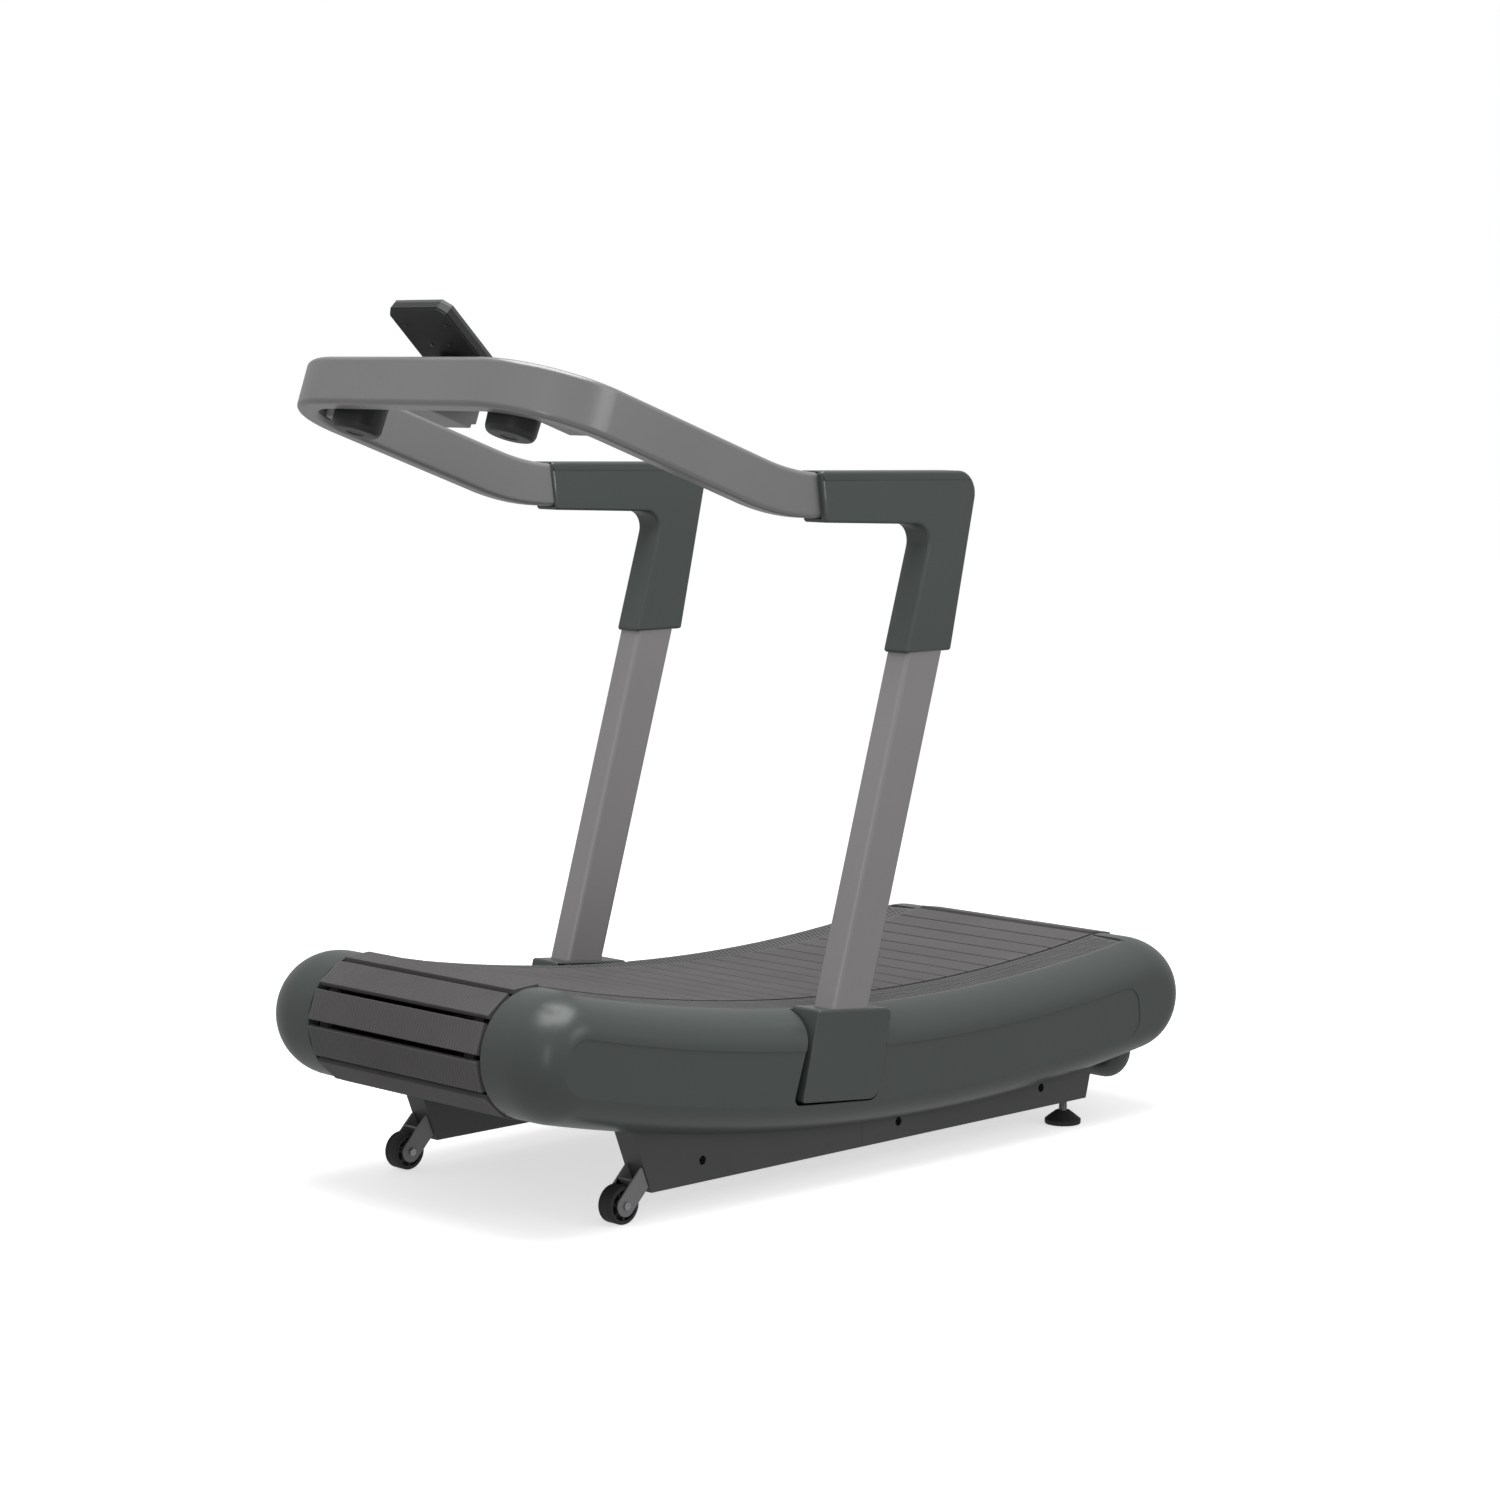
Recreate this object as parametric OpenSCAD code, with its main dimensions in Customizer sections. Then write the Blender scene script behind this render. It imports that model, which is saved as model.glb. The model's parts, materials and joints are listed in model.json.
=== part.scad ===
/* [Deck] */
// Width of the running slats across the belt
belt_width = 480; // [400:5:480]
// Width of one slat along the belt
slat_width = 57.5; // [48:0.5:58]
// Guide bearings along each side of the running surface
bearing_count = 12; // [8:1:16]

/* [Covers] */
// Outer width of the side covers
cover_width = 804; // [790:2:812]
// Inset of the rounded shoulder at the side face
shoulder_inset = 72; // [50:1:85]

/* [Handlebar] */
// Height of the handlebar band
bar_h = 90; // [70:1:96]
// Thickness of the handlebar band
bar_t = 43; // [30:1:50]
// Plan radius of the front corners of the handlebar
bar_corner = 160; // [120:5:200]

/* [Console] */
// Width of the console
console_w = 160; // [140:2:170]
// Length of the console along its slope
console_l = 160; // [140:2:170]

/* [Feet] */
// Diameter of the levelling pads
pad_d = 73; // [50:1:80]
// Radius of the transport wheels
wheel_r = 35.3; // [34:0.1:35.3]

/* [Hidden] */
$fn = 96;
eps = 0.2;
cy = 200;
cz = 4326;
r_mid = 4120;
r_pitch_top = 4013;
r_pitch_bot = 4227;
r_pitch_drum = 107;
a_front = -13.62;
a_rear = 7.87;
arc = a_rear - a_front;
front_y = cy + r_mid * sin(a_front);
front_z = cz - r_mid * cos(a_front);
rear_y = cy + r_mid * sin(a_rear);
rear_z = cz - r_mid * cos(a_rear);
pitch = 62.71;
step_top = pitch / r_pitch_top * 180 / PI;
step_bot = pitch / r_pitch_bot * 180 / PI;
step_drum = pitch / r_pitch_drum * 180 / PI;
cover_in = 245;
cover_flat = 300;
cover_out = cover_width / 2;
plate_in = 271;
rail_in = 277.2;
rail_out = 329.5;
upr_in = 344.3;
upr_out = 400.9;
lean = 16.65;
tilt = 19.5;
bar_x = 368.5;
loop_y = -841;
loop_z = 1496.7;
centre_shift = 3.02;

function unit(v) = v / norm(v);
function arc_pts(p0, p1, p2, r, n) = let(
    a = unit(p0 - p1),
    b = unit(p2 - p1),
    half = acos(a * b) / 2,
    c = p1 + unit(a + b) * r / sin(half),
    s = p1 + a * r / tan(half) - c,
    e = p1 + b * r / tan(half) - c,
    a0 = atan2(s[1], s[0]),
    da = (atan2(e[1], e[0]) - a0 + 540) % 360 - 180)
  [for (i = [0:n]) c + r * [cos(a0 + da * i / n), sin(a0 + da * i / n)]];
function xy(p) = [p[0], p[1]];
function rounded(p, n = 8) = let(m = len(p))
  [for (i = [0:m - 1]) each (p[i][2] <= 0 ? [xy(p[i])] :
    arc_pts(xy(p[(i + m - 1) % m]), xy(p[i]), xy(p[(i + 1) % m]), p[i][2], n))];
// Height of a circle about the deck centre, at length y
function arc_z(r, y) = cz - sqrt(r * r - (y - cy) * (y - cy));

// Centres the whole machine on the origin
module placed() {
  translate([0, centre_shift, 0]) children();
}

// A YZ outline extruded from x0 to x1
module yz(x0, x1) {
  translate([x0, 0, 0])
    rotate([90, 0, 90])
      linear_extrude(x1 - x0)
        children();
}

// Something drawn for the +X side, on one side or the other
module on_side(s) {
  if (s > 0) children();
  else mirror([1, 0, 0]) children();
}

// Drawn hanging under the deck centre, turned to arc angle a
module at_arc(a) {
  translate([0, cy, cz]) rotate([a, 0, 0]) children();
}

// A (radius, x) profile swept along the deck from a0 to a1
module deck_sweep(a0, a1) {
  translate([0, cy, cz])
    rotate([0, 90, 0])
      rotate([0, 0, a0])
        rotate_extrude(angle = a1 - a0)
          children();
}

// A (radius, x) profile turned about a drum axis
module front_turn(a0 = 0, a1 = 360) {
  translate([0, front_y, front_z])
    rotate([0, 90, 0])
      rotate([0, 0, a0])
        rotate_extrude(angle = a1 - a0)
          children();
}

module rear_turn(a0 = 0, a1 = 360) {
  translate([0, rear_y, rear_z])
    rotate([0, 90, 0])
      rotate([0, 0, a0])
        rotate_extrude(angle = a1 - a0)
          children();
}

// One slat: tread plate and stiffening web. Its outer face is at z = 0, its web below
module slat() {
  translate([-belt_width / 2, -slat_width / 2, -9.7])
    cube([belt_width, slat_width, 9.7]);
  translate([-188, -4, -28])
    cube([376, 8, 18.4]);
}

module top_slats() {
  color([0.30, 0.29, 0.29])
    for (k = [0:23])
      at_arc(a_front + (k + 0.5) * step_top) translate([0, 0, -4000]) slat();
}

module bottom_slats() {
  color([0.30, 0.29, 0.29])
    for (k = [0:25])
      at_arc(a_rear - 8.75 / r_pitch_bot * 180 / PI - k * step_bot)
        translate([0, 0, -4240]) mirror([0, 0, 1]) slat();
}

module front_wrap_slats() {
  color([0.30, 0.29, 0.29])
    translate([0, front_y, front_z])
      for (k = [0:4])
        rotate([a_front + (k + 0.5) * step_drum, 0, 0]) translate([0, 0, 120]) slat();
}

module rear_wrap_slats() {
  color([0.30, 0.29, 0.29])
    translate([0, rear_y, rear_z])
      for (k = [0:4])
        rotate([a_rear - (k + 0.5) * step_drum, 0, 0]) translate([0, 0, 120]) slat();
}

module belt_pair(r) {
  for (s = [-1, 1])
    translate([r - 2.95, s > 0 ? 196 : -220])
      square([5.9, 24]);
}

module top_belts() {
  color([0.12, 0.12, 0.12])
    deck_sweep(a_front + 0.02, a_rear - 0.02) belt_pair(r_pitch_top);
}

module bottom_belts() {
  color([0.12, 0.12, 0.12])
    deck_sweep(a_front + 0.02, a_rear - 0.02) belt_pair(r_pitch_bot);
}

module front_wrap_belts() {
  color([0.12, 0.12, 0.12])
    front_turn(180 + a_front + 1, 360 + a_front - 1) belt_pair(r_pitch_drum);
}

module rear_wrap_belts() {
  color([0.12, 0.12, 0.12])
    rear_turn(a_rear + 1, 180 + a_rear - 1) belt_pair(r_pitch_drum);
}

module shaft_profile() {
  polygon([[0, -296], [14, -296], [15, -295], [15, 295], [14, 296], [0, 296]]);
}

module pulley_profile() {
  polygon([[15.02, 186], [30, 186], [30, 200], [88, 203], [92, 190.5], [108, 190.5],
    [108, 194.5], [103.7, 195.5], [103.7, 221.5], [92, 221.5], [88, 211], [30, 214],
    [30, 226], [15.02, 226]]);
}

module front_shaft() {
  color([0.6, 0.6, 0.62]) front_turn() shaft_profile();
}

module rear_shaft() {
  color([0.6, 0.6, 0.62]) rear_turn() shaft_profile();
}

module front_pulleys() {
  color([0.35, 0.35, 0.36]) {
    front_turn() pulley_profile();
    mirror([1, 0, 0]) front_turn() pulley_profile();
  }
}

module rear_pulleys() {
  color([0.35, 0.35, 0.36]) {
    rear_turn() pulley_profile();
    mirror([1, 0, 0]) rear_turn() pulley_profile();
  }
}

// Flanged bearing unit, axis along x, seated on the outer face of the side plate
module bearing_unit() {
  difference() {
    union() {
      translate([rail_in, 0, 0]) rotate([0, 90, 0]) cylinder(r = 46, h = 9);
      translate([rail_in, 0, 0]) rotate([0, 90, 0]) cylinder(r = 33, h = 18);
    }
    translate([rail_in - 1, 0, 0]) rotate([0, 90, 0]) cylinder(r = 15.05, h = 20);
  }
}

module drum_bearing_units() {
  color([0.25, 0.26, 0.27])
    for (s = [-1, 1])
      on_side(s) {
        translate([0, front_y, front_z]) bearing_unit();
        translate([0, rear_y, rear_z]) bearing_unit();
      }
}

// Outline of the thick arc, h to each side of its middle line, with round ends
function capsule(h) = concat(
  [for (i = [0:40]) let(a = a_front + arc * i / 40) [cy + (r_mid - h) * sin(a), cz - (r_mid - h) * cos(a)]],
  [for (i = [1:15]) let(a = 90 + a_rear - 12 * i) [rear_y + h * cos(a), rear_z + h * sin(a)]],
  [for (i = [1:40]) let(a = a_rear - arc * i / 40) [cy + (r_mid + h) * sin(a), cz - (r_mid + h) * cos(a)]],
  [for (i = [1:14]) let(a = 270 + a_front - 12 * i) [front_y + h * cos(a), front_z + h * sin(a)]]);

module plate_solid() {
  difference() {
    yz(plate_in, plate_in + 6) polygon(capsule(92));
    translate([plate_in - 1, front_y, front_z]) rotate([0, 90, 0]) cylinder(r = 20, h = 8);
    translate([plate_in - 1, rear_y, rear_z]) rotate([0, 90, 0]) cylinder(r = 20, h = 8);
  }
}

module guide_row_solid() {
  for (k = [0:bearing_count - 1])
    at_arc(a_front + 1.2 + k * (arc - 2.4) / (bearing_count - 1))
      translate([0, 0, -4031.4])
        children();
}

module side_plate(s) {
  color([0.28, 0.29, 0.30])
    on_side(s)
      plate_solid();
}

module guide_bearings(s) {
  color([0.62, 0.63, 0.65])
    on_side(s)
      guide_row_solid()
        rotate([0, 90, 0])
          translate([0, 0, 199])
            difference() {
              cylinder(r = 15, h = 18);
              translate([0, 0, -1]) cylinder(r = 5.04, h = 20);
            }
}

module guide_bearing_studs() {
  color([0.5, 0.5, 0.52])
    for (s = [-1, 1])
      on_side(s)
        guide_row_solid()
          rotate([0, 90, 0]) {
            translate([0, 0, 192]) cylinder(r = 5, h = plate_in - 192 - 0.05);
            translate([0, 0, 226]) cylinder(r = 9, h = plate_in - 226 - 0.05);
          }
}

module cross_members() {
  color([0.28, 0.29, 0.30])
    for (a = [-10.2, -5.2, 0, 4.6])
      at_arc(a)
        difference() {
          translate([-plate_in + 0.1, -30, -4140]) cube([2 * plate_in - 0.2, 60, 40]);
          translate([-plate_in - 1, -27, -4137]) cube([2 * plate_in + 2, 54, 34]);
        }
}

// Rail side outline. Inset g moves every edge inwards
function rail_outline(g) = concat(
  [[-560 + 0.7 * g, 50 + g], [634 - 0.9 * g, 50 + g], [653 - g, 118], [660 - g, 150]],
  [for (i = [0:10]) let(y = 660 - g - i * (1272 - 2 * g) / 10) [y, arc_z(4174 + g, y)]],
  [[-609 + g, 178]]);

bolt_at = [[-433.5, 90], [83.5, 84], [497, 90]];

module rail_tube() {
  difference() {
    yz(rail_in, rail_out) polygon(rail_outline(0));
    yz(rail_in + 4, rail_out - 4) polygon(rail_outline(4));
    for (p = bolt_at)
      translate([rail_out - 6, p[0], p[1]]) rotate([0, 90, 0]) cylinder(r = 8.5, h = 8);
    for (p = bolt_at)
      translate([rail_in - 1, p[0], p[1]]) rotate([0, 90, 0]) cylinder(r = 4.1, h = 8);
    translate([303.3, 594, 48]) cylinder(r = 8.9, h = 8);
  }
}

module front_rail(s) {
  color([0.27, 0.28, 0.28])
    on_side(s)
      intersection() {
        rail_tube();
        translate([260, -700, 0]) cube([90, 700 - 17.3, 300]);
      }
}

module rear_rail(s) {
  color([0.27, 0.28, 0.28])
    on_side(s)
      intersection() {
        rail_tube();
        translate([260, -16.7, 0]) cube([90, 700, 300]);
      }
}

module rail_bolt() {
  difference() {
    union() {
      cylinder(r = 4, h = 48);
      translate([0, 0, 40]) cylinder(r = 6.5, h = 8);
    }
    translate([0, 0, 43]) cylinder(r = 3, h = 6, $fn = 6);
  }
}

module rail_bolts() {
  color([0.1, 0.1, 0.1])
    for (s = [-1, 1], p = bolt_at)
      on_side(s)
        translate([rail_in, p[0], p[1]]) rotate([0, 90, 0]) rail_bolt();
}

// Quarter-ellipse shoulder: inset of the cover outline at distance x from the middle
function inset(x, w, d) = x <= cover_flat ? 0 :
  d * (1 - sqrt(max(0, 1 - pow((x - cover_flat) / (w - cover_flat), 2))));
shoulder_x = [300, 318, 334, 349, 362, 373, 382, 389, 394.5, 398.5, 401, cover_out];

// Outline of the cover wall against x: d is how far it lies inside the plain outline
function shoulder(g) = [for (x = shoulder_x) [g + inset(x, cover_out, shoulder_inset), min(x, cover_out - g)]];
function back(v) = [for (i = [len(v) - 1:-1:0]) v[i]];

// Wall section of the cover's ends: lip, round wall and side face, turned about a drum axis
module cap_wall() {
  polygon(concat([[94, cover_in], [118, cover_in]],
    [for (q = shoulder(0)) [118 - q[0], q[1]]],
    [[0, cover_out], [0, cover_out - 4]],
    [for (q = back(shoulder(4))) [118 - q[0], q[1]]],
    [[114, cover_in + 4], [94, cover_in + 4]]));
}

// Wall section of the cover's long part, with the bed for the tread strip at the top
module band_wall() {
  polygon(concat([[4021.5, cover_in], [4005.2, cover_in], [4009.4, 329.8], [4005.2, 329.9]],
    [for (i = [2:len(shoulder_x) - 1]) let(q = shoulder(0)[i]) [4002 + q[0], q[1]]],
    [for (q = back(shoulder(0))) [4238 - q[0], q[1]]],
    [[4238, cover_in], [4214, cover_in], [4214, cover_in + 4], [4234, cover_in + 4]],
    [for (q = shoulder(4)) [4238 - q[0], q[1]]],
    [for (i = [len(shoulder_x) - 1:-1:4]) let(q = shoulder(4)[i]) [4002 + q[0], q[1]]],
    [[4017.5, 350], [4013.6, 329.8], [4009.5, cover_in + 4], [4021.5, cover_in + 4]]));
}

module notch_outline() {
  polygon(rounded([[-189, 420, 0], [11.4, 420, 0], [-51.9, 157, 22], [-272, 176, 14]]));
}

module side_cover(s) {
  color([0.29, 0.31, 0.30])
    on_side(s)
      difference() {
        union() {
          deck_sweep(a_front + 0.001, a_rear - 0.001) band_wall();
          front_turn(180 + a_front, 360 + a_front) cap_wall();
          rear_turn(a_rear, 180 + a_rear) cap_wall();
        }
        // way in for the rail, the lifting handle and the upright
        yz(rail_in - 1, rail_out + 1) polygon(rail_outline(-1.2));
        translate([297.5, 781, 60]) cylinder(r = 21.5, h = 140);
        yz(rail_out + 0.2, 420) notch_outline();
      }
}

module tread_strip(s) {
  color([0.33, 0.33, 0.33])
    on_side(s)
      deck_sweep(a_front + 0.01, a_rear - 0.01)
        polygon([[4002, cover_in + 0.4], [4005.9, 329.5], [4009.1, 329.5], [4005, cover_in + 0.4]]);
}

module foot_cover(s) {
  color([0.29, 0.31, 0.30])
    on_side(s)
      difference() {
        yz(332, 405)
          polygon(rounded([[-208, 347.5, 6], [-12, 328, 14], [-52.5, 159.5, 24], [-249, 178.5, 5]]));
        yz(331, 401.3)
          polygon([[-203, 342.5], [-17, 324], [-56.5, 164], [-244, 182.5]]);
        upright_void(0.5);
      }
}

// Place something at the foot of the upright with z along its length
module upright_frame() {
  translate([(upr_in + upr_out) / 2, -118.75, 341])
    rotate([-lean, 0, 0])
      children();
}

module rounded_rect(w, d, r) {
  polygon(rounded([[-w / 2, -d / 2, r], [w / 2, -d / 2, r], [w / 2, d / 2, r], [-w / 2, d / 2, r]], 6));
}

module upright_void(g) {
  upright_frame()
    translate([0, 0, -40])
      linear_extrude(120)
        rounded_rect(upr_out - upr_in + 2 * g, 94 + 2 * g, 10);
}

module upright(s) {
  color([0.50, 0.49, 0.49])
    on_side(s)
      difference() {
        upright_frame()
          translate([0, 0, -150])
            linear_extrude(1120)
              difference() {
                rounded_rect(upr_out - upr_in, 94, 10);
                rounded_rect(upr_out - upr_in - 7, 87, 7);
              }
        translate([300, -100, 1238.6]) cube([150, 400, 160]);
        translate([300, -300, 60]) cube([150, 400, 125]);
      }
}

module upright_brackets() {
  color([0.28, 0.29, 0.30])
    for (s = [-1, 1])
      on_side(s)
        yz(rail_out + 0.1, upr_in - 0.1)
          polygon([[-200, 310], [-60, 300], [-92, 186], [-232, 196]]);
}

module handle_cover(s) {
  color([0.29, 0.31, 0.30])
    on_side(s)
      difference() {
        yz(341.5, 403.5)
          polygon(rounded([[-204, 1337.5, 5], [222, 1328.5, 44], [144.5, 992, 5], [20.5, 992, 5],
            [93, 1231, 34], [-191, 1243, 5]], 10));
        // channel for the handlebar end
        yz(bar_x - bar_t / 2 - 0.6, bar_x + bar_t / 2 + 0.6)
          polygon(concat([for (y = [-225, -190, 0, 192]) [y, side_z(y) + 42.9]],
            [for (y = [192, 0, -190, -225]) [y, side_z(y) - 42.9]]));
        // channel for the top of the upright
        yz(upr_in - 0.4, upr_out + 0.4)
          polygon([for (q = [[980, -49.6], [980, 49.6], [1239.3, 49.6], [1239.3, -49.6]])
            [-118.75 + tan(lean) * (q[0] - 341) + q[1], q[0]]]);
      }
}

// Handlebar band: stations [centre, outward, up]
function side_z(y) = y > -190 ? 1292.3 - 0.03 * (y + 190) :
  y > -350 ? 1292.3 + 0.03 * (-190 - y) + 0.324 / 320 * pow(-190 - y, 2) :
  loop_z - (y - loop_y) * tan(tilt);
function side_slope(y) = y > -190 ? 1.72 : y > -350 ? atan(0.03 + 0.324 / 160 * (-190 - y)) : tilt;
// The band is a little lower inside the handle covers
function side_h(y) = y > -190 ? 83 / 90 : y > -350 ? (83 + 7 * (-190 - y) / 160) / 90 : 1;
function loop_pt(x, v, w) = [x, loop_y + v * cos(tilt) + w * sin(tilt), loop_z - v * sin(tilt) + w * cos(tilt)];
side_y = [190, -190, -205, -225, -245, -265, -285, -305, -325, -350, -500, -660];
corner_n = 12;
right_half = concat(
  [for (y = side_y)
    [[bar_x, y, side_z(y)], [1, 0, 0], side_h(y) * [0, sin(side_slope(y)), cos(side_slope(y))]]],
  [for (i = [0:corner_n]) let(a = 90 * i / corner_n)
    [loop_pt(bar_x - bar_corner * (1 - cos(a)), bar_corner * (1 - sin(a)), 0),
     [cos(a), -sin(a) * cos(tilt), sin(a) * sin(tilt)],
     [0, sin(tilt), cos(tilt)]]]);
function flip(v) = [for (i = [0:len(v) - 1]) i == 0 ? -v[i] : v[i]];
n_half = len(right_half);
stations = concat(right_half, [for (i = [n_half - 1:-1:0]) [flip(right_half[i][0]), flip(right_half[i][1]), right_half[i][2]]]);
function ring(st, sec) = [for (q = sec) st[0] + st[1] * q[0] + st[2] * q[1]];
function section(t, h, r) = rounded([[-t / 2, -h / 2, r], [t / 2, -h / 2, r], [t / 2, h / 2, r], [-t / 2, h / 2, r]], 4);

module handlebar() {
  outer = section(bar_t, bar_h, 10);
  inner = section(bar_t - 7, bar_h - 7, 6.5);
  m = len(outer);
  n = len(stations);
  pts = concat(
    [for (st = stations) each ring(st, outer)],
    [for (st = stations) each ring(st, inner)]);
  o = n * m;
  faces = concat(
    [for (i = [0:n - 2], j = [0:m - 1]) [i * m + j, (i + 1) * m + j, i * m + (j + 1) % m]],
    [for (i = [0:n - 2], j = [0:m - 1]) [(i + 1) * m + j, (i + 1) * m + (j + 1) % m, i * m + (j + 1) % m]],
    [for (i = [0:n - 2], j = [0:m - 1]) [o + i * m + j, o + i * m + (j + 1) % m, o + (i + 1) * m + j]],
    [for (i = [0:n - 2], j = [0:m - 1])
      [o + (i + 1) * m + j, o + i * m + (j + 1) % m, o + (i + 1) * m + (j + 1) % m]],
    [for (j = [0:m - 1]) [j, (j + 1) % m, o + j]],
    [for (j = [0:m - 1]) [(j + 1) % m, o + (j + 1) % m, o + j]],
    [for (j = [0:m - 1]) [(n - 1) * m + j, o + (n - 1) * m + j, (n - 1) * m + (j + 1) % m]],
    [for (j = [0:m - 1]) [(n - 1) * m + (j + 1) % m, o + (n - 1) * m + j, o + (n - 1) * m + (j + 1) % m]]);
  color([0.50, 0.50, 0.50])
    polyhedron(points = pts, faces = faces);
}

// Drawn in the plane of the handlebar loop: x across, y rearwards from the front bar, z out of plane
module loop_frame() {
  translate([0, loop_y, loop_z]) rotate([-tilt, 0, 0]) children();
}

tray_half = [[150, 22], [268, 67], [318, 84], [338, 118], [346.3, 152], [346.3, 166], [274, 166], [262, 150]];

module accessory_tray() {
  color([0.42, 0.42, 0.42])
    loop_frame()
      difference() {
        union() {
          translate([0, 0, 14]) linear_extrude(4)
            polygon(concat(tray_half, [for (i = [len(tray_half) - 1:-1:0]) flip(tray_half[i])]));
          for (s = [-1, 1])
            on_side(s) {
              translate([274, 84, -36]) cube([3, 82, 50.2]);
              translate([0, 0, -36]) linear_extrude(3)
                polygon([[275, 84], [318, 84], [338, 118], [346.3, 152], [346.3, 166], [275, 166]]);
              translate([0, 0, -33.2]) linear_extrude(47.4)
                polygon([[318, 84], [338, 118], [346.3, 152], [346.3, 166], [343.3, 166],
                  [343.3, 152.4], [335.1, 118.8], [316.5, 87], [277, 87], [277, 84]]);
            }
        }
        for (x = [-216, 216])
          translate([x, 83, 10]) cylinder(r = 49.5, h = 12);
      }
}

module cup_holder(s) {
  color([0.08, 0.09, 0.09])
    on_side(s)
      loop_frame()
        translate([216, 83, -68])
          rotate_extrude()
            polygon([[0, 0], [36, 0], [41, 1.5], [45, 6], [46.5, 12], [49, 82], [49, 86.2], [54, 86.2],
              [54, 90], [45.5, 90], [43, 14], [41, 7], [36, 4], [0, 4]]);
}

module console_mount() {
  color([0.42, 0.42, 0.42]) {
    loop_frame()
      difference() {
        union() {
          translate([-36, 21.7, -36]) cube([72, 118, 49.8]);
          translate([-36, 139.7, -26]) cube([72, 10, 39.8]);
        }
        translate([-33, 25, -33]) cube([66, 112, 43.8]);
      }
    yz(-34, 34)
      polygon([[-752, 1484.7], [-712, 1470.5], [-712, 1516.2], [-736, 1540.2], [-752, 1540.2]]);
  }
}

// Drawn on the console: x across, y up its slope from the lower edge, z out of the display
module console_frame() {
  translate([0, -807 + 0.70711 * console_l, 1643.5 - 0.70711 * console_l])
    rotate([-45, 0, 0])
      mirror([0, 1, 0])
        children();
}

module console_outline(g, c) {
  w = console_w / 2 - g;
  polygon([[-w + c, g], [w - c, g], [w, g + c], [w, console_l - g - c], [w - c, console_l - g],
    [-w + c, console_l - g], [-w, console_l - g - c], [-w, g + c]]);
}

module console_back() {
  color([0.10, 0.11, 0.11])
    console_frame()
      difference() {
        union() {
          translate([0, 0, -22.6]) linear_extrude(3) console_outline(2, 14);
          translate([0, 0, -19.6]) linear_extrude(12.4) console_outline(0, 15);
        }
        translate([0, 0, -19.6]) linear_extrude(14) console_outline(3, 13.5);
        for (p = screw_at)
          translate([p[0], p[1], -24]) cylinder(r = 1.55, h = 5);
      }
}

screw_at = [[-56, 119, 0], [56, 119, 0], [-24, 71, 0], [24, 71, 0]];

module console_screws() {
  color([0.35, 0.35, 0.36])
    console_frame()
      for (p = screw_at) {
        translate([p[0], p[1], -24]) cylinder(r = 3, h = 1.4);
        translate([p[0], p[1], -22.6]) cylinder(r = 1.5, h = 9);
      }
}

module console_face() {
  color([0.20, 0.21, 0.21])
    console_frame()
      difference() {
        translate([0, 0, -7]) linear_extrude(7) console_outline(0, 15);
        translate([0, 0, -8]) linear_extrude(5) console_outline(3, 13.5);
        translate([-62, 50, -1.6]) cube([124, 92, 3]);
        translate([-56, 56, -4]) cube([112, 80, 6]);
        for (x = [-42, 0, 42])
          translate([x, 26, -4]) cylinder(r = 9.4, h = 6);
      }
}

module console_display() {
  color([0.05, 0.06, 0.07])
    console_frame()
      translate([-61.7, 50.3, -1.6]) cube([123.4, 91.4, 1.4]);
}

module console_button(x) {
  console_frame()
    translate([x, 26, 0]) {
      translate([0, 0, -6.4]) cylinder(r = 9, h = 7.8);
      translate([0, 0, -6.4]) cylinder(r = 11, h = 1.5);
    }
}

module mode_button() {
  color([0.55, 0.56, 0.57]) console_button(-42);
}

module start_button() {
  color([0.20, 0.45, 0.25]) console_button(0);
}

module stop_button() {
  color([0.60, 0.12, 0.10]) console_button(42);
}

wheel_y = -618;
wheel_x = 304.9;

module wheel_fork(s) {
  color([0.40, 0.40, 0.40])
    on_side(s) {
      for (x = [wheel_x - 21.9, wheel_x + 17.9])
        difference() {
          yz(x, x + 4)
            polygon(rounded([[-646.3, 35.3, 19.8], [-580.6, 101.7, 3], [-564.9, 60.9, 0], [-618, 7, 19.8]], 12));
          translate([x - 1, wheel_y, wheel_r]) rotate([0, 90, 0]) cylinder(r = 5.02, h = 6);
        }
      yz(wheel_x - 17.9, wheel_x + 17.9)
        polygon([[-603.8, 77.7], [-601, 80.5], [-574.2, 53.7], [-577, 50.9]]);
    }
}

module wheel_tyre(s) {
  color([0.07, 0.07, 0.07])
    on_side(s)
      translate([wheel_x, wheel_y, wheel_r])
        rotate([0, 90, 0])
          rotate_extrude()
            polygon([[31.2, -17], [34, -17], [wheel_r, -15.5], [wheel_r, 15.5], [34, 17], [31.2, 17]]);
}

module wheel_hub(s) {
  color([0.10, 0.10, 0.10])
    on_side(s)
      translate([wheel_x, wheel_y, wheel_r])
        rotate([0, 90, 0])
          difference() {
            union() {
              rotate_extrude()
                polygon([[28.4, -16.5], [31.15, -16.5], [31.15, 16.5], [28.4, 16.5]]);
              rotate_extrude()
                polygon([[5, -17.4], [11, -17.4], [11, 17.4], [5, 17.4]]);
              for (k = [0:6])
                rotate([0, 0, k * 360 / 7])
                  translate([10, -1.6, -14]) cube([19, 3.2, 28]);
            }
            translate([0, 0, -20]) cylinder(r = 5.06, h = 40);
          }
}

module wheel_axles() {
  color([0.5, 0.5, 0.52])
    for (s = [-1, 1])
      on_side(s)
        translate([wheel_x, wheel_y, wheel_r])
          rotate([0, 90, 0]) {
            translate([0, 0, -24.9]) cylinder(r = 5, h = 49.8);
            difference() {
              translate([0, 0, 22]) cylinder(r = 7.5, h = 3.5);
              translate([0, 0, 23.5]) cylinder(r = 3, h = 4, $fn = 6);
            }
            translate([0, 0, -27]) cylinder(r = 8, h = 5, $fn = 6);
          }
}

foot_x = 303.3;
foot_y = 594;

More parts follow.
